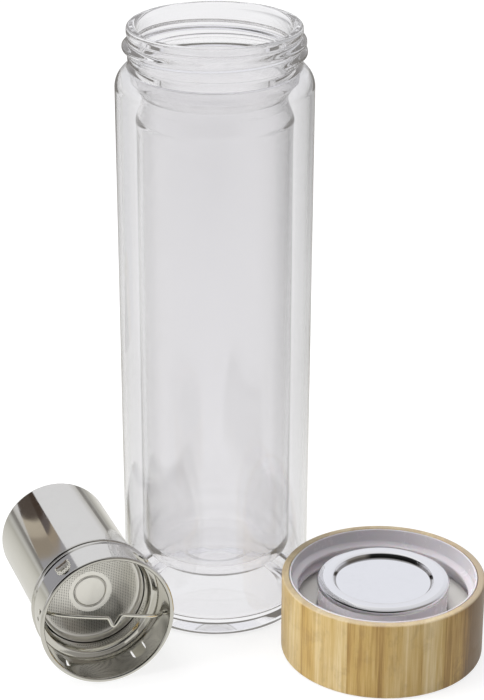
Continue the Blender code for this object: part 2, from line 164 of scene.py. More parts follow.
def bent_sheet(path, thickness):
    """Outline of sheet metal whose middle follows path, with rounded edges; a path may end on the axis."""
    line = np.array(path, float)
    onward = np.gradient(line, axis=0)
    onward /= np.linalg.norm(onward, axis=1, keepdims=True)
    across = np.stack((onward[:, 1], -onward[:, 0]), axis=1) * thickness / 2
    across[line[:, 0] == 0, 0] = 0
    one_side, other_side = list(map(tuple, line + across)), list(map(tuple, line - across))

    def nose(index, sign):
        """Three points that round the edge of the sheet at one end of the path."""
        tip = line[index] + sign * onward[index] * thickness * 0.35
        return [tuple(tip + across[index] * sign * share) for share in (0.6, 0, -0.6)]

    if line[-1][0] == 0:
        return other_side[::-1] + nose(0, -1) + one_side
    return one_side + nose(-1, 1) + other_side[::-1] + nose(0, -1)


print("a rounded square corner has", len(rounded([(0, 0), (10, 0, 2), (10, 10), (0, 10)])) - 3, "points")


# %% The lathe
def shell(outline, steps, push=None):
    """Vertices and faces of an outline carried round Z; an outline off the axis closes on itself."""
    points = np.array(outline, float)
    ring = points[0, 0] > 0 or points[-1, 0] > 0
    angles = 2 * np.pi * np.arange(steps) / steps
    vertices, rows = [], []
    for radius, height in points:
        if radius < 1e-9:  # a point on the axis
            rows.append([len(vertices)] * steps)
            vertices.append((0, 0, height))
            continue
        radii = np.full(steps, radius) if push is None else push(radius, height, angles)
        rows.append(list(range(len(vertices), len(vertices) + steps)))
        vertices += list(zip(radii * np.cos(angles), radii * np.sin(angles), np.full(steps, height)))
    faces = []
    for low, high in zip(rows, rows[1:] + rows[:1] if ring else rows[1:]):
        for step in range(steps):
            corners = [low[step], low[(step + 1) % steps], high[(step + 1) % steps], high[step]]
            faces.append(list(dict.fromkeys(corners)))
    return np.array(vertices) * MM, faces


def volume_of(vertices, faces):
    """Six times the volume inside; it is below zero where the faces look inwards."""
    return sum(
        float(np.dot(vertices[face[0]], np.cross(vertices[face[i]], vertices[face[i + 1]])))
        for face in faces
        for i in range(1, len(face) - 1)
    )


def turned(name, outline, finish, place, steps=192, push=None, hollow=None):
    """One turned piece. hollow is the outline of a sealed space inside its wall."""
    vertices, faces = shell(outline, steps, push)
    if volume_of(vertices, faces) < 0:
        faces = [face[::-1] for face in faces]
    if hollow is not None:
        inner, inner_faces = shell(hollow, steps)
        if volume_of(inner, inner_faces) > 0:
            inner_faces = [face[::-1] for face in inner_faces]
        faces += [[corner + len(vertices) for corner in face] for face in inner_faces]
        vertices = np.concatenate((vertices, inner))
    mesh = bpy.data.meshes.new(name)
    mesh.from_pydata([tuple(vertex) for vertex in vertices], [], faces)
    mesh.transform(place)
    mesh.shade_smooth()
    mesh.set_sharp_from_angle(angle=math.radians(40))
    mesh.materials.append(finish)
    print(f"{name}: {len(mesh.vertices)} vertices, {len(outline)} points in its outline")
    return in_scene(name, mesh)


# %% [markdown]
# ## Wiring nodes
# A material is a net of small nodes. Clicking them together is quick for one material, but this object has nine
# that share their parts, so a small helper makes a node, sets its values and links its sources in one line.
# Effects that several finishes need become node groups with named inputs and outputs.


# %% Node helpers
class Wiring:
    """Adds nodes to one tree and links them; sources may be sockets or plain values."""

    def __init__(self, tree):
        self.tree = tree

    def node(self, kind, sources=None, **settings):
        made = self.tree.nodes.new(kind)
        for key, value in settings.items():
            setattr(made, key, value)
        for key, source in (sources or {}).items():
            socket = made.inputs[key]
            if isinstance(source, bpy.types.NodeSocket):
                self.link(source, socket)
            else:
                socket.default_value = source
        return made

    def link(self, source, socket):
        self.tree.links.new(source, socket)

    def math(self, operation, *values, clamp=False):
        return self.node("ShaderNodeMath", dict(enumerate(values)), operation=operation, use_clamp=clamp).outputs[0]

    def plus(self, first, second):
        return self.math("ADD", first, second)

    def minus(self, first, second):
        return self.math("SUBTRACT", first, second)

    def times(self, first, second):
        return self.math("MULTIPLY", first, second)

    def axes(self, vector):
        return self.node("ShaderNodeSeparateXYZ", {0: vector}).outputs

    def length(self, vector):
        return self.node("ShaderNodeVectorMath", {0: vector}, operation="LENGTH").outputs["Value"]

    def mix(self, share, first, second):
        return self.node("ShaderNodeMix", {0: share, 6: first, 7: second}, data_type="RGBA").outputs[2]

    def remap(self, value, low, high, to_low=0.0, to_high=1.0):
        sources = {"Value": value, "From Min": low, "From Max": high, "To Min": to_low, "To Max": to_high}
        return self.node("ShaderNodeMapRange", sources).outputs[0]

    def ramp(self, share, stops):
        made = self.node("ShaderNodeValToRGB", {"Fac": share})
        for index, (place, colour) in enumerate(stops):
            stop = made.color_ramp.elements[index] if index < 2 else made.color_ramp.elements.new(place)
            stop.position, stop.color = place, (*colour, 1)
        return made.outputs[0]

    def noise(self, where, scale, detail=3.0, roughness=0.5, distortion=0.0):
        sources = {"Vector": where, "Scale": scale, "Detail": detail, "Roughness": roughness, "Distortion": distortion}
        return self.node("ShaderNodeTexNoise", sources).outputs[0]

    def stretched(self, where, scale):
        return self.node("ShaderNodeMapping", {"Vector": where, "Scale": scale}).outputs[0]

    def group(self, tree, **sources):
        return self.node("ShaderNodeGroup", sources, node_tree=tree).outputs


# %% Group helpers
FLOAT, VECTOR = "NodeSocketFloat", "NodeSocketVector"


def shader_group(name, inputs, outputs):
    """An empty group with the named sockets; returns its wiring, its inputs and its outputs."""
    tree = bpy.data.node_groups.new(name, "ShaderNodeTree")
    for title, kind, value in inputs:
        socket = tree.interface.new_socket(title, in_out="INPUT", socket_type=kind)
        if value is not None:
            socket.default_value = value
    for title, kind in outputs:
        tree.interface.new_socket(title, in_out="OUTPUT", socket_type=kind)
    return Wiring(tree), tree.nodes.new("NodeGroupInput").outputs, tree.nodes.new("NodeGroupOutput").inputs


def sockets_of(group):
    return [f"{socket.in_out.lower()} {socket.name}" for socket in group.interface.items_tree]


# %% [markdown]
# ## Smudges
# Steel, plastic and wood that hands have touched are never evenly smooth. A fine noise that shows only inside the
# patches of a broad one looks like that. The group gives the mask of the patches and a roughness that rises in them,
# and each finish sets the size and the strength of its own smudges.


# %% Smudges
def smudge_group():
    wires, given, out = shader_group(
        "handling_smudges",
        [("Position", VECTOR, None), ("Scale", FLOAT, 60.0), ("Smooth", FLOAT, 0.05), ("Dull", FLOAT, 0.15)],
        [("Roughness", FLOAT), ("Mask", FLOAT)],
    )
    broad = wires.noise(given["Position"], given["Scale"], detail=4.0, roughness=0.6, distortion=0.6)
    fine = wires.noise(given["Position"], wires.times(given["Scale"], 6.0), detail=3.0, roughness=0.7)
    mask = wires.times(wires.remap(broad, 0.48, 0.72), wires.remap(fine, 0.3, 0.7))
    wires.link(wires.plus(given["Smooth"], wires.times(mask, given["Dull"])), out["Roughness"])
    wires.link(mask, out["Mask"])
    return wires.tree


smudges = smudge_group()
print(smudges.name, sockets_of(smudges))

# %% [markdown]
# ## Polishing lines
# Drawn or polished sheet keeps very fine lines along the way it was worked. Noise that is drawn out along one axis
# makes them, and a second, finer layer breaks them up. The group puts out a height only, so each steel chooses in its
# own Bump node how deep the lines are.


# %% Polishing lines
def polish_line_group():
    wires, given, out = shader_group(
        "polishing_lines",
        [("Position", VECTOR, None), ("Stretch", VECTOR, (1.0, 1.0, 1.0)), ("Scale", FLOAT, 900.0)],
        [("Height", FLOAT)],
    )
    stretch = {0: given["Position"], 1: given["Stretch"]}
    lined = wires.node("ShaderNodeVectorMath", stretch, operation="MULTIPLY").outputs[0]
    coarse = wires.noise(lined, given["Scale"], detail=2.0, roughness=0.6)
    fine = wires.noise(lined, wires.times(given["Scale"], 3.7), detail=2.0, roughness=0.6)
    wires.link(wires.plus(wires.times(coarse, 0.6), wires.times(fine, 0.4)), out["Height"])
    return wires.tree


polish_lines = polish_line_group()
print(polish_lines.name, sockets_of(polish_lines))

# %% [markdown]
# ## Hole lattice
# The strainer has about two thousand holes of 0.3 mm, far too many to cut one by one. A Voronoi texture without
# randomness is an even grid of cells, and the distance from a cell's middle draws a round hole in it. Two radii keep
# the holes inside the ring of the plate that is pierced.


# %% Hole lattice
def hole_lattice_group():
    wires, given, out = shader_group(
        "hole_lattice",
        [("Position", VECTOR, None), ("Pitch", FLOAT, 0.0009), ("Hole", FLOAT, 0.00026), ("Inner", FLOAT, 0.0076),
         ("Outer", FLOAT, 0.0180)],
        [("Mask", FLOAT), ("Height", FLOAT)],
    )
    axes = wires.axes(given["Position"])
    flat = wires.node("ShaderNodeCombineXYZ", {0: axes[0], 1: axes[1]}).outputs[0]
    grid = {"Vector": flat, "Scale": wires.math("DIVIDE", 1.0, given["Pitch"]), "Randomness": 0.0}
    cells = wires.node("ShaderNodeTexVoronoi", grid, voronoi_dimensions="2D")
    edge = wires.minus(given["Hole"], wires.times(cells.outputs["Distance"], given["Pitch"]))
    hole = wires.math("MULTIPLY", edge, wires.math("DIVIDE", 4.0, given["Hole"]), clamp=True)
    far = wires.length(flat)
    inside = wires.times(wires.math("GREATER_THAN", far, given["Inner"]), wires.math("LESS_THAN", far, given["Outer"]))
    mask = wires.times(hole, inside)
    wires.link(mask, out["Mask"])
    wires.link(wires.minus(1.0, mask), out["Height"])
    return wires.tree


hole_lattice = hole_lattice_group()
print(hole_lattice.name, sockets_of(hole_lattice))

# %% [markdown]
# ## A finish to start from
# Every finish is one Principled shader. Constant values sit on its own sockets, and only what changes over the
# surface is wired in. The pieces were turned on an axis and then set down, so a Mapping node takes that step back:
# grain, lines and holes follow the piece wherever it stands.


# %% A finish to start from
def finish(name, colour, place, **sockets):
    """A Principled finish; its coordinates start from the axis that place gives, before the piece was set down."""
    made = bpy.data.materials.new(name)
    made.use_nodes = True
    shader = made.node_tree.nodes["Principled BSDF"]
    shader.inputs["Base Color"].default_value = (*colour, 1)
    for title, value in sockets.items():
        shader.inputs[title.replace("_", " ")].default_value = value
    wires = Wiring(made.node_tree)
    put_down = wires.node("ShaderNodeTexCoord").outputs["Object"]
    axis = {"Vector": put_down, "Location": place.translation, "Rotation": place.to_euler()}
    return made, wires, shader, wires.node("ShaderNodeMapping", axis, vector_type="TEXTURE").outputs[0]


def add_bump(wires, shader, height, strength, distance):
    bump = wires.node("ShaderNodeBump", {"Height": height, "Strength": strength, "Distance": distance})
    wires.link(bump.outputs[0], shader.inputs["Normal"])


def describe(*finishes):
    for made in finishes:
        print(f"{made.name}: {len(made.node_tree.nodes)} nodes")


# %% [markdown]
# ## Glass
# Clear glass has next to no colour, yet it is drawn by dark lines where a wall is seen edge on. Layer Weight measures
# that angle, and a ramp on it paints shade into the colour: darker and a little green towards the edge, which draws
# those lines. Above the shoulder the wall is single and clearer, so this painted edge shade fades there. Light that
# bounces between the two walls for too long is cut off by the renderer, which would leave black specks. Light Path
# counts the bounces, and a faint grey glow of painted light takes their place.


# %% Glass
def clear_glass():
    made, wires, shader, where = finish(
        "clear_glass", (0.98, 0.98, 0.99), bottle_at, Roughness=0.0, IOR=1.47, Transmission_Weight=1.0,
        Emission_Strength=1.0,
    )
    # Painted shade: the colour darkens towards walls seen edge on.
    edge_on = wires.node("ShaderNodeLayerWeight", {"Blend": 0.22}).outputs["Facing"]
    tint = wires.ramp(
        edge_on,
        [(0.0, (0.950, 0.947, 0.952)), (0.20, (0.937, 0.934, 0.936)), (0.30, (0.838, 0.836, 0.836)),
         (0.42, (0.824, 0.823, 0.818)), (0.55, (0.75, 0.75, 0.735)), (1.0, (0.36, 0.37, 0.32))],
    )
    # The painted edge shade is weaker above the shoulder.
    neck = wires.remap(wires.axes(where)[2], 0.205, 0.209, to_high=0.3)
    tint = wires.mix(neck, tint, (0.955, 0.952, 0.958, 1))
    wires.link(tint, shader.inputs["Base Color"])
    # A faint grey glow of painted light for paths that the renderer cuts off.
    path = wires.node("ShaderNodeLightPath").outputs
    mirrored_long = wires.math("GREATER_THAN", path["Glossy Depth"], 3.5)
    trapped = wires.math("MAXIMUM", mirrored_long, wires.math("GREATER_THAN", path["Ray Depth"], 11.5))
    wires.link(wires.mix(trapped, (0, 0, 0, 1), (0.10, 0.095, 0.09, 1)), shader.inputs["Emission Color"])
    ripple = wires.noise(wires.stretched(where, (1.0, 1.0, 0.35)), 45.0, detail=1.0)
    add_bump(wires, shader, ripple, strength=0.05, distance=0.002)
    return made


glass = clear_glass()
describe(glass)

# %% [markdown]
# ## Bamboo
# The cup is turned from a block of glued bamboo strips. Its side shows upright fibres in strips of different tone,
# and its rim shows the paler cut ends. A picture of bamboo could be wrapped round it, but it would repeat and blur.
# Here White Noise gives each strip its own tone, and noise drawn out along the height adds bands and fibres. The
# strips at the right side are darker, which is painted shade for the side away from the light, and their stains are
# stronger, as near the skin of the cane.


# %% Bamboo
def bamboo_strips():
    made, wires, shader, where = finish("bamboo", (0.58, 0.40, 0.19), lid_at, Roughness=0.42)
    strip_width, strip_start, row_depth = 0.0062, 0.002, 0.019
    turned_round = wires.node("ShaderNodeMapping", {"Vector": where, "Rotation": (0, 0, 0.35)}).outputs[0]
    axes = wires.axes(turned_round)
    strip = wires.math("FLOOR", wires.math("DIVIDE", wires.plus(axes[0], strip_start), strip_width))
    row = wires.math("FLOOR", wires.math("DIVIDE", axes[1], row_depth))
    code = wires.plus(wires.times(strip, 1.37), wires.times(row, 5.11))
    tone = wires.node("ShaderNodeTexWhiteNoise", {"W": code}, noise_dimensions="1D").outputs["Value"]
    fibres = wires.noise(wires.stretched(turned_round, (1.0, 1.0, 0.035)), 1100.0, detail=3.0, roughness=0.65)
    bands = wires.noise(wires.stretched(turned_round, (1.0, 1.0, 0.05)), 260.0, detail=2.0)
    clouds = wires.noise(turned_round, 90.0, detail=3.0, roughness=0.55)
    lie = wires.axes(where)
    # Painted shade: the right side of the cup, away from the light, is darkened; the same mask makes the stains there
    # stronger.
    right_shade_and_stain = wires.remap(lie[0], 0.018, 0.032)
    share = wires.plus(wires.times(tone, 0.36), wires.times(bands, 0.72))
    share = wires.plus(share, wires.times(wires.minus(fibres, 0.5), 0.75))
    share = wires.plus(share, wires.times(wires.minus(clouds, 0.5), 0.15))
    share = wires.minus(share, wires.times(right_shade_and_stain, 0.82))
    colour = wires.ramp(
        share,
        [(0.0, (0.20, 0.11, 0.035)), (0.22, (0.38, 0.22, 0.06)), (0.45, (0.57, 0.38, 0.12)), (0.65, (0.67, 0.50, 0.23)),
         (0.90, (0.80, 0.65, 0.38))],
    )
    marks = wires.noise(wires.stretched(where, (1.0, 1.0, 0.6)), 130.0, detail=4.0, roughness=0.7, distortion=0.4)
    stain = wires.times(wires.remap(marks, 0.52, 0.68), wires.plus(0.25, wires.times(right_shade_and_stain, 0.5)))
    colour = wires.mix(stain, colour, (0.22, 0.12, 0.05, 1))
    cut_ends = wires.remap(lie[2], 0.0288, 0.0293, to_high=0.55)
    colour = wires.mix(cut_ends, colour, (0.72, 0.62, 0.46, 1))
    wires.link(colour, shader.inputs["Base Color"])
    worn = wires.group(smudges, Position=where, Scale=70.0, Smooth=0.38, Dull=0.18)
    wires.link(worn["Roughness"], shader.inputs["Roughness"])
    add_bump(wires, shader, fibres, strength=0.18, distance=0.0003)
    return made


bamboo = bamboo_strips()
describe(bamboo)

# %% [markdown]
# ## Liner and gasket
# The insert is moulded in a pale plastic that lets light a little way in, so it has some subsurface scattering, and
# its tone drifts slowly, as where the melt flowed. The ring is matt grey silicone, which holds dust: one fine noise
# both lightens it in specks and roughens its surface.


# %% Liner and gasket
def liner_plastic():
    made, wires, shader, where = finish(
        "liner_plastic", (0.79, 0.75, 0.78), lid_at, Roughness=0.3, Subsurface_Weight=0.15, Subsurface_Scale=0.002
    )
    worn = wires.group(smudges, Position=where, Scale=90.0, Smooth=0.24, Dull=0.15)
    wires.link(worn["Roughness"], shader.inputs["Roughness"])
    flow = wires.noise(where, 60.0, detail=2.0)
    wires.link(wires.mix(flow, (0.74, 0.70, 0.72, 1), (0.84, 0.80, 0.85, 1)), shader.inputs["Base Color"])
    pores = wires.noise(where, 1500.0, detail=2.0)
    add_bump(wires, shader, pores, strength=0.04, distance=0.0002)
    return made


def gasket_silicone():
    made, wires, shader, where = finish("gasket_silicone", (0.80, 0.79, 0.75), lid_at, Roughness=0.5)
    dust = wires.noise(where, 2500.0, detail=2.0, roughness=0.7)
    colour = wires.mix(wires.remap(dust, 0.55, 0.75), (0.79, 0.78, 0.74, 1), (0.85, 0.84, 0.80, 1))
    wires.link(colour, shader.inputs["Base Color"])
    worn = wires.group(smudges, Position=where, Scale=120.0, Smooth=0.42, Dull=0.2)
    wires.link(worn["Roughness"], shader.inputs["Roughness"])
    add_bump(wires, shader, dust, strength=0.08, distance=0.0002)
    return made


plastic = liner_plastic()
silicone = gasket_silicone()
describe(plastic, silicone)

# %% [markdown]
# ## Steels
# Metal looks like what it mirrors, so its colour and roughness change only a little. Collar and basket are bright
# drawn sheet, the wire is a little duller, and the cap of the plug is polished almost to a mirror. One function makes
# all three from smudges and polishing lines. The cap also gets a thin dark line at the foot of its dish, painted
# shade in the corner there. The pierced sheets add the hole lattice, as a bump and as dark spots of painted shade
# for the dark inside seen through the holes.


# %% Steels
def steel(name, colour, place, smooth, dull, stretch, line_scale, line_strength, corner=None):
    """Bright steel; the radius given last is that of a fold where a thin dark line of painted shade is drawn."""
    made, wires, shader, where = finish(name, colour, place, Metallic=1.0, Roughness=smooth)
    worn = wires.group(smudges, Position=where, Scale=75.0, Smooth=smooth, Dull=dull)
    wires.link(worn["Roughness"], shader.inputs["Roughness"])
    light = tuple(min(1.0, value * 1.04) for value in colour)
    tint = wires.mix(worn["Mask"], (*light, 1), (*colour, 1))
    if corner:
        # Painted shade: a thin dark line in the corner at this radius.
        flat = wires.node("ShaderNodeVectorMath", {0: where, 1: (1, 1, 0)}, operation="MULTIPLY").outputs[0]
        beside = wires.math("ABSOLUTE", wires.minus(wires.length(flat), corner))
        tint = wires.mix(wires.remap(beside, 0.0005, 0.0002), tint, (0.34, 0.33, 0.32, 1))
    wires.link(tint, shader.inputs["Base Color"])
    lines = wires.group(polish_lines, Position=where, Stretch=stretch, Scale=line_scale)
    add_bump(wires, shader, lines["Height"], strength=line_strength, distance=0.0001)
    return made


def perforated_steel(name, inner, outer):
    made, wires, shader, where = finish(name, (0.80, 0.79, 0.75), infuser_at, Metallic=1.0, Roughness=0.36)
    holes = wires.group(hole_lattice, Position=where, Pitch=0.00062, Hole=0.00016, Inner=inner, Outer=outer)
    # The holes are painted near black: painted shade for the dark inside seen through them.
    colour = wires.mix(holes["Mask"], (0.98, 0.97, 0.93, 1), (0.16, 0.16, 0.15, 1))
    wires.link(colour, shader.inputs["Base Color"])
    worn = wires.group(smudges, Position=where, Scale=80.0, Smooth=0.33, Dull=0.12)
    wires.link(wires.plus(worn["Roughness"], wires.times(holes["Mask"], 0.5)), shader.inputs["Roughness"])
    add_bump(wires, shader, holes["Height"], strength=0.5, distance=0.0002)
    return made


plug_steel = steel("plug_steel", (0.77, 0.77, 0.775), lid_at, smooth=0.05, dull=0.06, stretch=(1.0, 0.05, 1.0),
                   line_scale=700.0, line_strength=0.005, corner=0.0171)
wire_steel = steel("wire_steel", (0.78, 0.77, 0.71), infuser_at, smooth=0.10, dull=0.10, stretch=(1.0, 0.3, 1.0),
                   line_scale=900.0, line_strength=0.03)
sheet_steel = steel("sheet_steel", (0.66, 0.65, 0.61), infuser_at, smooth=0.07, dull=0.09, stretch=(1.0, 1.0, 0.03),
                    line_scale=1100.0, line_strength=0.04)
plate_steel = perforated_steel("plate_steel", inner=0.0077, outer=0.0172)
base_steel = perforated_steel("base_steel", inner=0.0, outer=0.0170)
describe(plug_steel, wire_steel, sheet_steel, plate_steel, base_steel)

# %% [markdown]
# ## Screw threads
# A screw thread is a ridge that climbs as it goes round. It could be swept along a helix and joined to the wall, but
# a join is seldom clean in glass. Here the lathe asks a push function for the radius of every point of a row, and
# the function adds the ridge where the point is near the climbing line. The ends of the ridge fade in and out.

# %% Screw threads
thread_pitch = 4.2


def screw_push(base, crest, start_height, start_turn, turns, foot=1.9, crown=0.55, run_out=0.12):
    """A push for the lathe: a rising ridge of rounded section on the wall of radius base."""

    def push(radius, height, angles):
        radii = np.full(len(angles), radius)
        if abs(radius - base) > 0.02:  # a row that isn't on the threaded wall
            return radii
        for lap in range(-1, 4):
            turn = angles / (2 * np.pi) + lap - start_turn
            centre = start_height + thread_pitch * turn
            inside = np.clip(np.minimum(turn, turns - turn) / run_out, 0, 1)
            rise = np.sin(inside * np.pi / 2)
            away = np.clip((np.abs(height - centre) - crown) / (foot - crown), 0, 1)
            ridge = (np.cos(away * np.pi) + 1) / 2 * rise
            radii = radii + (crest - base) * ridge
        return radii

    return push


bottle_height, neck_radius = 218.8, 29.7
thread_drop, half_climb, neck_turn = 7.2, 2.625, -0.115
thread_start = bottle_height - thread_drop - half_climb
neck_thread = screw_push(neck_radius, 31.5, thread_start, neck_turn, turns=1.18, foot=2.2, crown=0.25)
print("thread at the left side:", round(thread_start + thread_pitch * (0.5 - neck_turn), 2), "mm up")

# %% [markdown]
# ## The glass
# On the real bottle two blown walls are fused at the neck and sealed at the base, with a vacuum or air between.
# Two separate walls that touch would confuse the renderer where light goes from one into the other. For light the
# bottle is one body of glass with a sealed space inside, so it is made as one piece: an outer skin and an inner
# skin that faces the other way. The skin runs from the sealed vent under the base up the jacket, over the mouth and
# down the vessel to its floor.

# %% Fused glass body
# The points that [1:-1] and [1:] cut off only steer the rounded corners beside them.
vent_seal = [(0, 1.35), (2.4, 1.36), (3.4, 1.4), (4.4, 1.48)]
jacket = rounded([(5.2, 1.5), (22.9, 1.5, 1.5), (28.4, 0.0, 1.2), (33.5, 0.0, 3.0), (34.15, 200.2, 7.5),
                  (28.75, 206.2, 0.7), (28.75, 207.2, 0.5), (neck_radius, 207.4)], 12)[1:-1]
neck_rows = [(neck_radius, height) for height in np.arange(207.4, 215.7, 0.2)]
mouth_and_vessel = rounded([(neck_radius, 215.8), (30.0, 216.4, 0.5), (30.0, bottle_height, 1.7),
                            (26.2, bottle_height, 1.7), (26.2, 198.8, 2.4), (23.6, 194.6, 1.6), (23.6, 192.2, 1.6),
                            (25.55, 187.0, 2.4), (25.2, 181.5, 6.0), (25.2, 20.9, 8.5), (12.0, 21.0, 9.0),
                            (6.0, 21.4), (0, 21.5)], 12)[1:]
skin = vent_seal + jacket + neck_rows + mouth_and_vessel

sealed_space = rounded([(0, 4.0), (31.9, 4.0, 4.6), (32.55, 200.3, 7.0), (28.6, 203.7, 0.5), (27.9, 202.8, 0.5),
                        (27.9, 199.2, 2.2), (25.25, 194.8, 1.8), (25.25, 192.0, 1.6), (27.25, 186.3, 2.4),
                        (26.9, 181.5, 6.0), (26.9, 19.0, 6.5), (13.2, 19.0, 6.0), (11.4, 18.87, 6.0), (9.6, 19.0, 6.0),
                        (5.0, 19.3, 20.0), (0, 19.4)], 14)

glass_body = turned("double_wall_glass", skin, glass, bottle_at, 256, neck_thread, sealed_space)
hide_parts("inner_glass_vessel", "outer_glass_jacket", "base_vent_seal")
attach(glass_body, "bottle")

# %% [markdown]
# ## Bamboo cup
# The lid is a bamboo cup with a moulded insert. It lies on its top, so its open side faces up. The cup itself is
# a plain thick-walled bowl with softened edges, so a short outline on the lathe is all it needs.

# %% Bamboo cup
lid_height = 29.4
cup_outline = rounded([(0, 0), (36.0, 0, 1.3), (36.0, lid_height, 0.7), (33.5, lid_height, 0.25), (33.5, 12.4),
                       (0, 12.4)])
cup = turned("bamboo_cup", cup_outline, bamboo, lid_at)
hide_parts("bamboo_cap")
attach(cup, "lid")

# %% [markdown]
# ## Moulded liner
# The insert lines the cup. It has a wall with the inner thread, a channel that holds the sealing ring, and a boss
# that the steel cap is pressed over. It is moulded in one, so it is turned in one, and the wall gets close rows of
# points for the thread to push.

# %% Moulded liner
liner_bore, channel_floor, boss_radius = 32.6, 15.1, 23.1
liner_start = lid_height - 5.2 - thread_pitch * 1.25
liner_thread = screw_push(liner_bore, 30.3, liner_start, 0.25, turns=1.75, foot=1.7, crown=0.35, run_out=0.15)
wall_rows = [(liner_bore, height) for height in np.arange(28.9, 15.4, -0.25)]
liner_outline = [(0, 12.6)] + rounded([(32.7, 12.6), (33.3, 13.2), (33.3, lid_height, 0.25),
                                       (liner_bore, lid_height, 0.3)])
liner_outline += wall_rows
liner_outline += rounded([(liner_bore, 15.3), (liner_bore, channel_floor, 0.2), (boss_radius, channel_floor, 0.3),
                          (boss_radius, 25.6), (22.8, 25.6), (22.8, 25.75)])[1:]
liner = turned("lid_insert", liner_outline + [(0, 25.75)], plastic, lid_at, 256, liner_thread)
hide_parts("lid_liner")
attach(liner, "lid")

# %% [markdown]
# ## Silicone ring
# A flat ring on the floor of the channel seals against the rim of the glass. Its edges are rounded and its middle
# is a little hollow, which catches a soft line of light all the way round.

# %% Silicone ring
ring_outline = rounded([(23.3, 15.3), (32.4, 15.3), (32.4, 16.9, 0.6), (27.9, 16.75), (23.3, 16.9, 0.6)])
gasket = turned("silicone_ring", ring_outline, silicone, lid_at)
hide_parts("lid_gasket")
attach(gasket, "lid")

# %% [markdown]
# ## Steel cap of the plug
# The cap is pressed from polished sheet: a crowned rim, then a short steep wall down to a flat dish. The crown and
# the wall each mirror another part of the room, and that draws the bright and dark rings on it. The path goes up the
# outside and in to the axis.

# %% Steel cap of the plug
cap_path = rounded([(23.25, 25.9), (23.25, 27.35, 1.6), (21.2, 27.85, 2.0), (19.0, 27.7, 2.0), (18.0, 27.5, 0.35),
                    (17.1, 26.1, 0.25), (0, 26.05)], 8)
plug = turned("plug_cap", bent_sheet(cap_path, 0.5), plug_steel, lid_at, 256)
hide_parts("steel_plug_cap")
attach(plug, "lid")

# %% [markdown]
# ## Collar of the infuser
# Collar, strainer plate and basket are pressed from thin sheet. The collar hangs in the waist of the glass: its
# rolled lip rests on the waist and four sprung tongues snap in below it. Its path starts under the lip, rolls over
# it, and goes down past a bead and a shoulder to the skirt that the basket pushes on.

# %% Collar wall
top = infuser_length
collar_radius, collar_sheet = 22.65, 0.5
skirt_end = top - 26.4
collar_path = [(23.75, top - 1.3), (23.75, top - 0.75)] + arc((23.2, top - 0.75), (0.55, 0.5), 0, 180, 8)[1:]
collar_path += rounded([(collar_radius, top - 1.6), (collar_radius, top - 13.8, 0.4), (23.05, top - 14.6, 0.5),
                        (collar_radius, top - 15.4, 0.3), (collar_radius, top - 15.9, 0.9), (20.5, top - 16.15, 0.6),
                        (19.5, top - 17.4, 0.8), (19.5, top - 25.5, 0.7), (18.6, skirt_end)], 5)
collar = turned("steel_collar", bent_sheet(collar_path, collar_sheet), sheet_steel, infuser_at, 176)

# %% [markdown]
# ## Tongues and holes
# A press punches four windows out of the wall and leaves a tongue in each, bent outwards so that it springs. Two
# round holes carry the handle, each with a small spare hole beside it. Prisms of the same outlines cut and join with
# Boolean modifiers, as the punches do. The cuts leave long thin faces in the wall, which would show as dents in
# bright steel, so the wall then gets the normals of a true cylinder.


# %% Punches
def strip_outline(width, length, round_tip=0.45):
    """A strip that starts square and ends with rounded corners."""
    half, tip = width / 2, width * round_tip
    points = [(-half, 0.0), (half, 0.0)] + arc((half - tip, length - tip), tip, 0, 90, 8)
    return points + arc((tip - half, length - tip), tip, 90, 180, 8)


def circle_outline(radius):
    return [(math.cos(a) * radius, math.sin(a) * radius) for a in np.linspace(0, 2 * np.pi, 25)[:-1]]


def on_collar(turn, radius, height):
    """A place on the wall: X round it, Y up the axis, Z outwards."""
    out = Vector((math.cos(turn), math.sin(turn), 0))
    round_it = Vector((-math.sin(turn), math.cos(turn), 0))
    place = Matrix((round_it, Vector((0, 0, 1)), out)).transposed().to_4x4()
    place.translation = (out * radius + Vector((0, 0, height))) * MM
    return place


def prism(name, outline, depth, place):
    """A punch with this outline, centred on a place of the collar."""
    shape = bmesh.new()
    face = shape.faces.new([shape.verts.new((x * MM, y * MM, -depth / 2 * MM)) for x, y in outline])
    pushed = bmesh.ops.extrude_face_region(shape, geom=[face])["geom"]
    bmesh.ops.translate(shape, vec=(0, 0, depth * MM), verts=[v for v in pushed if isinstance(v, bmesh.types.BMVert)])
    bmesh.ops.recalc_face_normals(shape, faces=shape.faces)
    mesh = bpy.data.meshes.new(name)
    shape.to_mesh(mesh)
    shape.free()
    mesh.transform(infuser_at @ place)
    return in_scene(name, mesh)


def change_collar(tools, operation):
    """Cuts or joins every tool, then bakes the result into the collar and clears the tools away."""
    for tool in tools:
        step = collar.modifiers.new(tool.name, "BOOLEAN")
        step.object, step.operation, step.solver = tool, operation, "EXACT"
    graph = bpy.context.evaluated_depsgraph_get()
    result = bpy.data.meshes.new_from_object(collar.evaluated_get(graph))
    collar.modifiers.clear()
    collar.data = result
    for tool in tools:
        bpy.data.objects.remove(tool, do_unlink=True)


# %% Windows, tongues and holes
tongue_turns = [math.radians(87 + side * 38 + half) for half in (0, 180) for side in (-1, 1)]
tongue_foot, tongue_lean = top - 11.4, math.atan2(1.2, 5.6)
handle_turn, handle_height = math.radians(349.2), top - 6.5
cuts = [prism("window", strip_outline(5.8, 6.4), 2.0, on_collar(turn, collar_radius, tongue_foot))
        for turn in tongue_turns]
for side in (0, math.pi):
    cuts.append(prism("pivot", circle_outline(0.95), 3.0, on_collar(handle_turn + side, 22.9, handle_height)))
    cuts.append(prism("spare", circle_outline(0.8), 3.0,
                      on_collar(handle_turn + side + math.radians(8.5), 22.9, top - 8.0)))
change_collar(cuts, "DIFFERENCE")

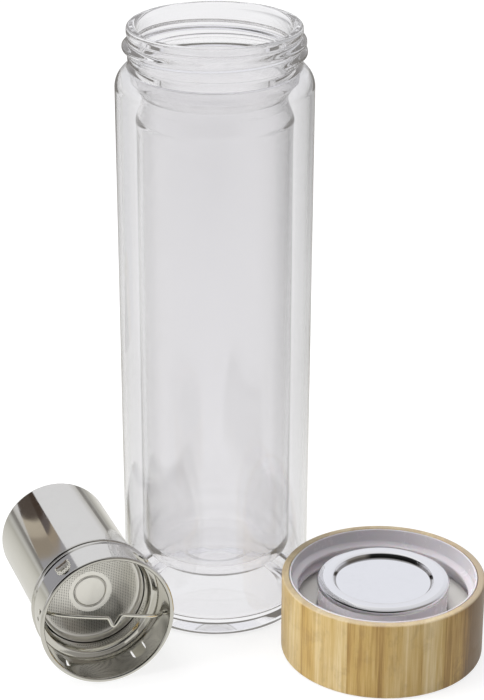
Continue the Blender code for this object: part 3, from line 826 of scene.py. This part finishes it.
lean = Matrix.Rotation(tongue_lean, 4, "X")
tongue_shape = [(x, y if y else -0.6) for x, y in strip_outline(4.6, 5.8)]
tongues = [prism("tongue", tongue_shape, 0.45, on_collar(turn, collar_radius, tongue_foot) @ lean)
           for turn in tongue_turns]
change_collar(tongues, "UNION")
collar.data.shade_smooth()
collar.data.set_sharp_from_angle(angle=math.radians(35))
print("collar:", len(collar.data.polygons), "faces with", len(tongue_turns), "tongues")


# %% Normals of a true cylinder
def true_round(mesh, place):
    """Gives the upright wall the normals of a cylinder, so that the cuts leave no dents in its reflections."""
    axis, start = place.col[2].to_3d(), place.translation
    kept = [(0.0, 0.0, 0.0)] * len(mesh.loops)
    for face in mesh.polygons:
        if abs(face.normal.dot(axis)) > 0.02:  # not part of an upright wall
            continue
        for loop in face.loop_indices:
            out = mesh.vertices[mesh.loops[loop].vertex_index].co - start
            out = (out - axis * out.dot(axis)).normalized()
            if abs(out.dot(face.normal)) > 0.98:  # not the side of a cut
                kept[loop] = tuple(out if out.dot(face.normal) > 0 else -out)
    mesh.normals_split_custom_set(kept)
    print("corners made round:", sum(any(normal) for normal in kept), "of", len(kept))


true_round(collar.data, infuser_at)
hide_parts("infuser_collar")
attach(collar, "collar")

# %% [markdown]
# ## Strainer plate
# A shallow cup of pierced sheet is pressed into the skirt. Its middle is plain and stands inside a pressed groove.
# Its edge rests on the inturned end of the skirt, so its height follows from the collar's. The form is turned, and
# the holes are in its finish.

# %% Strainer plate
plate_sheet, skirt_hem, slack = 0.4, 0.9, 0.2
edge = skirt_end + skirt_hem + collar_sheet + plate_sheet / 2 + slack
plate_path = rounded([(18.85, edge + 3.0), (18.85, edge, 1.3), (16.6, edge, 1.5), (7.9, edge + 1.0, 1.0),
                      (6.3, edge + 1.0, 0.3), (5.8, edge + 0.75, 0.3), (5.3, edge + 1.0, 0.3), (0, edge + 1.0)], 5)
plate = turned("perforated_plate", bent_sheet(plate_path, plate_sheet), plate_steel, infuser_at, 192)
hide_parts("strainer_plate")
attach(plate, "collar")

# %% [markdown]
# ## Basket
# The basket is a deep-drawn tube. Its rim is curled outwards just under the collar's shoulder, and its foot turns
# inwards and holds a pierced cup that closes it. Tube and cup are two sheets in the real thing, so they are two
# pieces here, each drawn by the path of its middle.

# %% Basket
rim = top - 16.65
wall, foot_bend = 20.125, 1.675
tube_path = arc((22.2, rim - 0.8), 0.62, 150, -80, 12)
tube_path += rounded([(22.0, rim - 1.5), (20.6, rim - 1.75, 0.5), (wall, rim - 3.0, 1.0), (wall, foot_bend)], 6)[1:]
tube_path += arc((wall - tube_curl, foot_bend), tube_curl, 0, -90, 8)[1:]
tube = turned("basket_wall", bent_sheet(tube_path, tube_sheet), sheet_steel, infuser_at, 224)
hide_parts("basket_tube")
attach(tube, "basket")

floor_level = tube_sheet + plate_sheet / 2 + slack
base_path = rounded([(19.55, floor_level + 3.0), (19.55, floor_level + 0.5, 0.9), (17.6, floor_level + 0.3, 0.8),
                     (0, floor_level + 0.3)], 5)
base = turned("basket_floor", bent_sheet(base_path, plate_sheet), base_steel, infuser_at, 192)
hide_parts("basket_base")
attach(base, "basket")

# %% [markdown]
# ## The wire handle
# A bow of spring wire turns in two holes of the collar, with a small bend near the middle for a fingertip. It was
# bent by hand: the bend is a little off the centre, and one half lies deeper than the other. A curve with a round
# bevel makes it, because the route is then just a list of points.


# %% Wire handle
def handle_route():
    bow, depth = 21.05, 11.0
    bend_middle, bend_width, bend_height = 0.9, 3.6, 3.2
    sink, sink_reach = 1.3, 15
    points = [(23.2, 0, 0), (22.4, 0, 0)]
    for turn in np.linspace(0, math.pi, 161):
        across = bow * math.cos(turn)
        beside = across - bend_middle
        bend = max(0.0, 1 - (2 * beside / bend_width) ** 2)
        deeper = sink * max(0.0, 1 - beside / sink_reach) if beside > 0 else 0.0
        points.append((across, depth * math.sin(turn), bend_height * math.sqrt(bend) - deeper))
    return points + [(-22.4, 0, 0), (-23.2, 0, 0)]


def smoothed(points, passes=3):
    line = np.array(points)
    for _ in range(passes):
        line[1:-1] = (line[:-2] + 2 * line[1:-1] + line[2:]) / 4
    return line


wire = bpy.data.curves.new("wire_handle", "CURVE")
wire.dimensions = "3D"
wire.bevel_depth = 0.65 * MM
wire.bevel_resolution = 5
wire.use_fill_caps = True
route = smoothed(handle_route())
spline = wire.splines.new("POLY")
spline.points.add(len(route) - 1)
hinge = Matrix.Translation((0, 0, handle_height * MM)) @ Matrix.Rotation(handle_turn, 4, "Z")
wire_at = infuser_at @ hinge @ Matrix.Rotation(math.radians(73.7), 4, "X")
for point, place in zip(spline.points, route):
    point.co = (*(wire_at @ Vector(place * MM)), 1)
wire.materials.append(wire_steel)
handle = in_scene("wire_handle", wire)
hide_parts("infuser_handle")
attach(handle, "handle")
print("handle:", len(route), "points along the wire")

# %% [markdown]
# ## Table
# Glass is drawn by what stands round it, and a plain white table would wash it out. The table shows white to the
# camera, with a faint shadow. To rays that come through the glass it is a grey that darkens towards the camera and to
# the right, as the studio does. To rays that leave the steel it has rings of other tones, as its surroundings would
# show. Light Path tells the rays apart, and the tones depend only on the place on the table.


# %% Table
def bare(owner):
    """Wiring for a material or world with all its nodes cleared away."""
    owner.use_nodes = True
    owner.node_tree.nodes.clear()
    return Wiring(owner.node_tree)


def glow(wires, colour, strength=1.0):
    return wires.node("ShaderNodeEmission", {"Color": colour, "Strength": strength}).outputs[0]


def choose(wires, share, first, second):
    return wires.node("ShaderNodeMixShader", {0: share, 1: first, 2: second}).outputs[0]


def table_finish():
    made = bpy.data.materials.new("white_table")
    wires = bare(made)
    path = wires.node("ShaderNodeLightPath").outputs
    where = wires.node("ShaderNodeTexCoord").outputs["Object"]
    axes = wires.axes(where)
    lit = wires.node("ShaderNodeBsdfDiffuse", {"Color": (0.80, 0.80, 0.81, 1)}).outputs[0]
    shadow = wires.node("ShaderNodeBsdfDiffuse", {"Color": (0.28, 0.28, 0.28, 1)}).outputs[0]
    seen = wires.node("ShaderNodeAddShader", {0: shadow, 1: glow(wires, (1, 1, 1, 1), 0.80)}).outputs[0]
    through = wires.ramp(wires.remap(axes[1], -0.6, 0.1), [(0.0, (0.22, 0.22, 0.23)), (0.75, (0.97, 0.97, 0.98))])
    through = wires.mix(wires.remap(axes[0], 0.03, 0.35), through, (0.50, 0.50, 0.51, 1))
    mirrored = wires.ramp(
        wires.remap(wires.length(where), 0.12, 1.1),
        [(0.0, (0.80, 0.79, 0.75)), (0.12, (0.56, 0.55, 0.51)), (0.22, (0.76, 0.76, 0.74)), (1.0, (0.34, 0.33, 0.31))],
    )
    mirrored = wires.mix(wires.remap(axes[1], 0.1, 0.5), mirrored, (0.28, 0.27, 0.26, 1))
    surface = choose(wires, path["Is Glossy Ray"], lit, glow(wires, mirrored))
    surface = choose(wires, path["Is Transmission Ray"], surface, glow(wires, through))
    surface = choose(wires, path["Is Camera Ray"], surface, seen)
    wires.node("ShaderNodeOutputMaterial", {"Surface": surface})
    return made


def table_top(reach=6.0, height=-0.0001):
    mesh = bpy.data.meshes.new("table_top")
    corners = [(x * reach, y * reach, height) for x, y in ((-1, -1), (1, -1), (1, 1), (-1, 1))]
    mesh.from_pydata(corners, [], [(0, 1, 2, 3)])
    mesh.materials.append(table_finish())
    describe(mesh.materials[0])
    return in_scene("table_top", mesh)


table_top()

# %% [markdown]
# ## Dark card
# The polished wall of the basket mirrors brown and beige fields that stood beside the studio table. A card at the
# place that the wall mirrors gives it those fields, and it is hidden from every ray but the mirrored ones. A round
# wall spreads what it shows like a fan, so the pattern is set out by angle and distance from one corner of the card.
# Each half of the fan has its own row of tones along the basket.


# %% Dark card
fan_corner, card_depth = (-0.1057, 0.0531), 0.095


def card_finish():
    made = bpy.data.materials.new("brown_card")
    wires = bare(made)
    axes = wires.axes(wires.node("ShaderNodeTexCoord").outputs["Object"])
    across = wires.minus(fan_corner[0], axes[0])
    upward = wires.minus(axes[2], fan_corner[1])
    fan = wires.math("ARCTAN2", upward, across)
    far = wires.math("SQRT", wires.plus(wires.times(across, across), wires.times(upward, upward)))
    near_end = wires.minus(0.042, wires.times(fan, 0.0195))
    length = wires.minus(0.046, wires.times(fan, 0.016))
    along = wires.remap(wires.math("DIVIDE", wires.minus(far, near_end), length), -0.3, 0.9)
    left = wires.ramp(along, [(0.23, (0.10, 0.08, 0.07)), (0.26, (0.58, 0.52, 0.43)), (0.49, (0.52, 0.46, 0.38)),
                              (0.52, (0.34, 0.29, 0.24)), (0.80, (0.36, 0.31, 0.25)), (0.86, (0.40, 0.40, 0.44))])
    right = wires.ramp(along, [(0.26, (0.07, 0.05, 0.04)), (0.29, (0.15, 0.13, 0.13)), (0.50, (0.14, 0.12, 0.12)),
                               (0.53, (0.42, 0.35, 0.27)), (0.80, (0.36, 0.30, 0.24)), (0.86, (0.40, 0.40, 0.44))])
    tones = wires.mix(wires.remap(fan, 0.52, 0.56), left, right)
    wires.node("ShaderNodeOutputMaterial", {"Surface": glow(wires, tones)})
    return made


card_mesh = bpy.data.meshes.new("dark_card")
card_outline = [(-0.2317, 0.0210), fan_corner, (-0.1564, 0.1619), (-0.2317, 0.1619)]
card_mesh.from_pydata([(x, card_depth, z) for x, z in card_outline], [], [(0, 1, 2, 3)])
card_mesh.materials.append(card_finish())
card = in_scene("dark_card", card_mesh)
card.visible_camera = card.visible_diffuse = card.visible_transmission = card.visible_shadow = False
describe(card_mesh.materials[0])

# %% [markdown]
# ## Room
# Mirrored and refracted rays see a pale room that is dimmer overhead, at the right and towards the camera, with two
# dark bands in front at the sides. The bands give the steel and the rims of the glass their contrast. Rays that light
# matt surfaces find a plainer room, bright on the window's side and dim on the other, and the camera finds white.
# A picture of a real studio could stand in for all of it, but a few soft patches by direction say more clearly
# what does what.


# %% Room
def towards(azimuth, elevation):
    """Direction for an azimuth that is 0 straight behind the object and grows to the right."""
    turn, lift = math.radians(azimuth), math.radians(elevation)
    return Vector((math.sin(turn) * math.cos(lift), math.cos(turn) * math.cos(lift), math.sin(lift)))


def facing(wires, way, azimuth, elevation):
    """1 straight towards that direction, -1 away from it."""
    pair = {0: way, 1: towards(azimuth, elevation)}
    return wires.node("ShaderNodeVectorMath", pair, operation="DOT_PRODUCT").outputs["Value"]


def patch(wires, way, azimuth, elevation, reach, fade):
    """Mask of a round patch of the room, reach degrees in radius with an edge fade degrees wide."""
    outer, inner = math.cos(math.radians(reach + fade)), math.cos(math.radians(reach))
    return wires.remap(facing(wires, way, azimuth, elevation), outer, inner)


def room():
    world = bpy.data.worlds.new("studio")
    bpy.context.scene.world = world
    wires = bare(world)
    way = wires.node("ShaderNodeTexCoord").outputs["Generated"]
    height = wires.axes(way)[2]
    walls = wires.ramp(height, [(0.0, (0.62, 0.61, 0.60)), (0.12, (0.86, 0.86, 0.90)), (0.50, (0.93, 0.94, 1.0)),
                                (0.80, (0.98, 0.98, 1.0)), (1.0, (0.55, 0.55, 0.56))])
    right_wall = patch(wires, way, azimuth=100, elevation=35, reach=30, fade=40)
    behind_camera = patch(wires, way, azimuth=180, elevation=10, reach=40, fade=50)
    band = wires.times(wires.remap(height, 0.28, 0.38), wires.remap(height, 0.95, 0.85))
    right_band = wires.times(band, patch(wires, way, azimuth=135, elevation=30, reach=40, fade=20))
    left_band = wires.times(band, patch(wires, way, azimuth=-140, elevation=25, reach=58, fade=14))
    for mask, tone in ((right_wall, (0.62, 0.62, 0.66, 1)), (behind_camera, (0.42, 0.41, 0.40, 1)),
                       (right_band, (0.26, 0.24, 0.22, 1)), (left_band, (0.02, 0.02, 0.02, 1))):
        walls = wires.mix(mask, walls, tone)
    window = wires.remap(facing(wires, way, azimuth=-70, elevation=40), -0.7, 0.9)
    light = wires.ramp(window, [(0.0, (0.19, 0.19, 0.19)), (1.0, (0.63, 0.63, 0.64))])
    path = wires.node("ShaderNodeLightPath").outputs
    colour = wires.mix(wires.math("MAXIMUM", path["Is Glossy Ray"], path["Is Transmission Ray"]), light, walls)
    colour = wires.mix(path["Is Camera Ray"], colour, (1, 1, 1, 1))
    background = wires.node("ShaderNodeBackground", {"Color": colour, "Strength": 1.0}).outputs[0]
    wires.node("ShaderNodeOutputWorld", {"Surface": background})
    return world


describe(room())

# %% [markdown]
# ## Lamps
# Two large soft boxes, one overhead and one from the left, shape the bamboo and the plastic and cast the soft shadow
# on the table. Mirrored and refracted rays don't see them, because a hard white rectangle in the steel or the glass
# would give away a plain set-up that the real studio didn't have.


# %% Lamps
def soft_box(name, place, aim, size, power):
    lamp = bpy.data.lights.new(name, "AREA")
    lamp.shape, lamp.size, lamp.size_y, lamp.energy = "RECTANGLE", size[0], size[1], power
    made = in_scene(name, lamp)
    made.visible_glossy = made.visible_transmission = False
    made.location = place
    made.rotation_euler = (Vector(aim) - Vector(place)).to_track_quat("-Z", "Y").to_euler()
    print(f"{name}: {power} W, {(Vector(aim) - Vector(place)).length:.2f} m away")


soft_box("overhead_box", place=(-0.35, 0.25, 1.5), aim=(0, 0, 0.05), size=(1.3, 1.1), power=16.0)
soft_box("side_box", place=(-1.3, -0.35, 0.8), aim=(0, 0, 0.08), size=(0.8, 0.8), power=13.0)
bpy.context.scene.view_settings.view_transform = "Standard"
